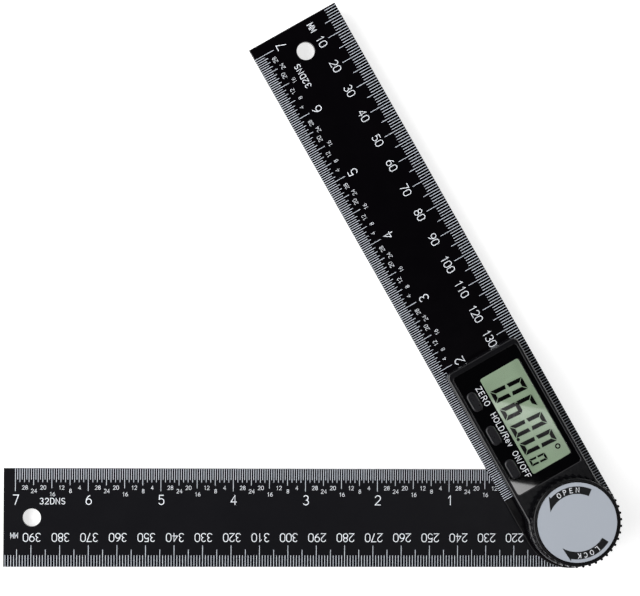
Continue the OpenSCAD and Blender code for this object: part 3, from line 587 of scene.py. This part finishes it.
# the words beside the keys: each has its place along the arm and its length
labelSet = {
    "height": 2.2, "stroke": 0.22, "thick": 0.02, "sunk": 0.01, "across": -6.25,
    "words": [("ZERO", 53.8, 7.3), ("HOLD/Rev", 40.4, 13.1), ("ON/OFF", 26.45, 10.4)],
}
shapes = []
for word, along, span in labelSet["words"]:
    shapes += writeText(word, (labelSet["across"], along), (1, 0), labelSet, lensSet["top"], span)
verts, faces = joined(shapes)
makePiece("key_words", toWorld(verts, upperTurn), faces, "wordInk", "upper_arm")
print("key words made")


# the display's figures: slant and midPoint are shares of a bar's width, slantOut a share of the
# slant, and each figure has its size and where it starts along the arm
figureSet = {
    "level": 12.4, "thick": 0.04, "sunk": 0.01, "lean": 0.07,
    "slant": 0.42, "slantOut": 0.4, "midPoint": 0.6,
    "large": {"low": -3.4, "high": 9.0, "width": 4.7, "bar": 1.45, "gap": 0.17},
    "small": {"low": -3.3, "high": 2.9, "width": 2.7, "bar": 0.74, "gap": 0.1},
    "figures": [("0", "large", 53.85), ("6", "large", 46.85), ("0", "large", 39.85), ("0", "large", 32.95),
                ("0", "small", 26.4)],
    "sides": 32, "dot": (-2.9, 34.4, 0.6, 0.58), "degree": (8.1, 25.5, 1.0, 0.5),  # place, radius and width
}
litBars = {"0": "abcdef", "6": "acdefg"}


def segmentShapes(figure, box):
    # the lit bars of one seven-bar figure as pairs of rails, in its box: each outer bar is a
    # mitred strip along its side, and the middle one has pointed ends
    h, w, t, g = box["high"] - box["low"], box["width"], box["bar"], box["gap"]
    m, point = h / 2, t * figureSet["midPoint"]
    near = m + g / 2 + t * figureSet["slant"]
    far = m + g / 2 + t * figureSet["slant"] * figureSet["slantOut"]
    rails = {
        "a": ([(g, h), (w - g, h)], [(t + g, h - t), (w - t - g, h - t)]),
        "d": ([(t + g, t), (w - t - g, t)], [(g, 0), (w - g, 0)]),
        "f": ([(0, far), (0, h - g)], [(t, near), (t, h - t - g)]),
        "e": ([(0, g), (0, h - far)], [(t, t + g), (t, h - near)]),
        "b": ([(w - t, near), (w - t, h - t - g)], [(w, far), (w, h - g)]),
        "c": ([(w - t, t + g), (w - t, h - near)], [(w, g), (w, h - far)]),
        "g": ([(g, m), (point + g, m + t / 2), (w - point - g, m + t / 2), (w - g, m)],
              [(g, m), (point + g, m - t / 2), (w - point - g, m - t / 2), (w - g, m)]),
    }
    return [tuple(np.array(rail, float) for rail in rails[bar]) for bar in litBars[figure]]


def figurePoints(rail, low, start):
    # leaning figure's box to the arm: up is across the arm, reading runs towards the pivot
    across = low + rail[:, 1]
    along = start - rail[:, 0] - rail[:, 1] * figureSet["lean"]
    return np.stack([across, along], 1)


def ringPrism(across, along, radius, width, base, top):
    # a flat ring: one rail on its radius, the other inside it by its width
    angle = np.radians(np.arange(figureSet["sides"]) * 360 / figureSet["sides"])
    circle = np.stack([np.cos(angle), np.sin(angle)], 1)
    return railPrism(circle * (radius - width) + [across, along], circle * radius + [across, along],
                     base, top, True)


base, top = figureSet["level"] - figureSet["sunk"], figureSet["level"] + figureSet["thick"]
shapes = []
for figure, size, start in figureSet["figures"]:
    box = figureSet[size]
    for left, right in segmentShapes(figure, box):
        left, right = (figurePoints(rail, box["low"], start) for rail in (left, right))
        shapes.append(railPrism(left, right, base, top))
shapes += [ringPrism(*figureSet[mark], base, top) for mark in ("dot", "degree")]
verts, faces = joined(shapes)
makePiece("display_figures", toWorld(verts, upperTurn), faces, "segmentBlack", "upper_arm")
print("display made")


# the knob's printed arrows
knobPrintSet = {
    "level": 20.95, "thick": 0.02, "sunk": 0.01, "bodySteps": 30, "headSteps": 12, "headBend": 0.9,
    "tipWidth": 0.02,
    "open": {"inner": 10.0, "outer": 12.6, "tail": 67, "corner": (13.5, 138), "tip": (10.1, 159),
             "word": "OPEN", "at": (125, 113, 101.5, 90), "middle": 11.35},
    "lock": {"inner": 10.2, "outer": 12.8, "tail": -31, "corner": (13.6, -99), "tip": (10.3, -120),
             "word": "LOCK", "at": (-52, -63.5, -75, -86), "middle": 11.6},
    "letters": {"height": 1.85, "stroke": 0.22, "thick": 0.012, "sunk": 0.005, "turnStep": 30},
}


def arrowBand(look, allBands):
    # a band between two radii from its tail to the arrowhead's corner, then narrowing along a
    # straight edge to the tip on the inner radius
    def polar(radius, degrees):
        a = np.radians(degrees)
        return np.stack([radius * np.cos(a), radius * np.sin(a)], -1)
    corner, tip = look["corner"], look["tip"]
    bodySteps, headSteps = allBands["bodySteps"], allBands["headSteps"]
    body = np.linspace(look["tail"], corner[1], bodySteps)
    head = np.linspace(corner[1], tip[1], headSteps)
    share = np.linspace(0, 1, headSteps)[:, None] ** allBands["headBend"]
    edge = polar(*corner) * (1 - share) + polar(*tip) * share
    outer = np.vstack([polar(np.full(bodySteps, look["outer"]), body), edge])
    fall = np.linspace(look["inner"], tip[0] - allBands["tipWidth"], headSteps)
    inner = np.vstack([polar(np.full(bodySteps, look["inner"]), body), polar(fall, head)])
    left, right = (inner, outer) if corner[1] > look["tail"] else (outer, inner)
    return railPrism(left, right, allBands["level"] - allBands["sunk"], allBands["level"] + allBands["thick"])


bands, letters = [], []
for key in ("open", "lock"):
    look = knobPrintSet[key]
    bands.append(arrowBand(look, knobPrintSet))
    for letter, degrees in zip(look["word"], look["at"]):
        up = np.array([math.cos(math.radians(degrees)), math.sin(math.radians(degrees))])
        letters += writeText(letter, up * look["middle"], up, knobPrintSet["letters"],
                             knobPrintSet["level"] + knobPrintSet["thick"])
verts, faces = joined(bands)
makePiece("knob_arrows", verts * mm, faces, "blackInk", "lock_knob")
verts, faces = joined(letters)
makePiece("knob_words", verts * mm, faces, "wordInk", "lock_knob")
print("knob print made")


# floor, world and lights
stageSet = {
    "floorRadius": 3.0, "floorDrop": 0.0003, "floorColour": 0.8, "floorShade": 0.6, "floorGlow": 0.74,
    "horizon": 1.0, "zenith": 0.01, "fadeHeights": (0.3, 0.6),
}


def floorMaterial():
    # pale floor; what the camera, mirrors and glass see of it is lifted to white, and the
    # object's shadow stays in its diffuse part
    material = bpy.data.materials.new("paleFloor")
    n = Nodes(material)
    path = n.add("ShaderNodeLightPath")
    seen = n.add("ShaderNodeMath", {"operation": "MAXIMUM"}, _0=path.outputs["Is Camera Ray"],
                 _1=path.outputs["Is Glossy Ray"])
    seen = n.add("ShaderNodeMath", {"operation": "MAXIMUM"}, _0=seen.outputs[0],
                 _1=path.outputs["Is Transmission Ray"])
    strength = n.add("ShaderNodeMath", {"operation": "MULTIPLY"}, _0=seen.outputs[0],
                     _1=stageSet["floorGlow"])
    tone = n.add("ShaderNodeMapRange", Value=seen.outputs[0], To_Min=stageSet["floorColour"],
                 To_Max=stageSet["floorShade"])
    glow = n.add("ShaderNodeEmission", Color=(1, 1, 1, 1), Strength=strength.outputs[0])
    shade = n.add("ShaderNodeBsdfDiffuse", Color=tone.outputs[0])
    both = n.add("ShaderNodeAddShader", _0=glow.outputs[0], _1=shade.outputs[0])
    n.set(n.out, "Surface", both.outputs[0])
    return material


floorMesh = bpy.data.meshes.new("floor")
r, z = stageSet["floorRadius"], -stageSet["floorDrop"]
floorMesh.from_pydata([(-r, -r, z), (r, -r, z), (r, r, z), (-r, r, z)], [], [(0, 1, 2, 3)])
floorMesh.materials.append(floorMaterial())
floor = bpy.data.objects.new("floor", floorMesh)
bpy.context.scene.collection.objects.link(floor)

# the world is bright near the horizon and dark overhead
world = bpy.data.worlds.new("studio")
bpy.context.scene.world = world
n = Nodes(world, "ShaderNodeOutputWorld")
direction = n.add("ShaderNodeTexCoord").outputs["Generated"]
height = n.add("ShaderNodeSeparateXYZ", Vector=direction).outputs["Z"]
fadeLow, fadeHigh = stageSet["fadeHeights"]
ramp = n.add("ShaderNodeMapRange", Value=height, From_Min=fadeLow, From_Max=fadeHigh,
             To_Min=stageSet["horizon"], To_Max=stageSet["zenith"])
sky = n.add("ShaderNodeBackground", Color=(1, 1, 1, 1), Strength=ramp.outputs[0])
n.set(n.out, "Surface", sky.outputs[0])

# a soft box on the left, a strip that lines the right edges, and the light in the lens's corner
lamps = {
    "keyLight": {"place": (-1.1, 0.02, 0.78), "aim": (-0.08, 0.06, 0), "size": (1.9, 1.1), "radiance": 5.2},
    "rightStrip": {"place": (0.75, 0.6, 0.32), "aim": (-0.02, 0.05, 0), "size": (0.9, 0.06), "radiance": 13.0},
    "cornerLight": {"place": (0.112, -0.0742, 0.95), "turn": -9.5, "size": (0.08, 0.046), "radiance": 9.5,
                    "fade": [(0.0, 0.0), (0.28, 0.06), (0.41, 0.15), (0.54, 0.32), (0.7, 0.62),
                             (0.84, 1.0), (1.0, 1.0)], "wane": 0.5},
}


def fadeLamp(lamp, look):
    # strength over the lamp's own face: a row of steps from its near edge to its far edge, times
    # a straight fall from left to right
    n = Nodes(lamp, "ShaderNodeOutputLight")
    face = n.add("ShaderNodeNewGeometry").outputs["Parametric"]
    split = n.add("ShaderNodeSeparateXYZ", Vector=face)
    steps = n.add("ShaderNodeFloatCurve", Value=split.outputs["Y"])
    curve = steps.mapping.curves[0]
    for place, height in look["fade"][1:-1]:
        curve.points.new(place, height)
    curve.points[0].location = look["fade"][0]
    curve.points[-1].location = look["fade"][-1]
    steps.mapping.update()
    across = n.add("ShaderNodeMapRange", Value=split.outputs["X"], To_Min=1.0, To_Max=1.0 - look["wane"])
    strength = n.add("ShaderNodeMath", {"operation": "MULTIPLY"}, _0=steps.outputs[0], _1=across.outputs[0])
    glow = n.add("ShaderNodeEmission", Strength=strength.outputs[0])
    n.set(n.out, "Surface", glow.outputs[0])


for lampName, look in lamps.items():
    lamp = bpy.data.lights.new(lampName, "AREA")
    lamp.shape = "RECTANGLE"
    lamp.size, lamp.size_y = look["size"]
    lamp.energy = look["radiance"] * math.pi * look["size"][0] * look["size"][1]
    lampObject = bpy.data.objects.new(lampName, lamp)
    lampObject.location = look["place"]
    if "aim" in look:
        away = np.array(look["place"]) - np.array(look["aim"])
        lampObject.rotation_euler = (math.atan2(math.hypot(away[0], away[1]), away[2]), 0,
                                     math.atan2(away[0], -away[1]))
    else:
        lampObject.rotation_euler = (0, 0, math.radians(look["turn"]))  # straight down
    if "fade" in look:
        fadeLamp(lamp, look)
    bpy.context.scene.collection.objects.link(lampObject)

bpy.context.scene.view_settings.view_transform = "Standard"
print("lights set")
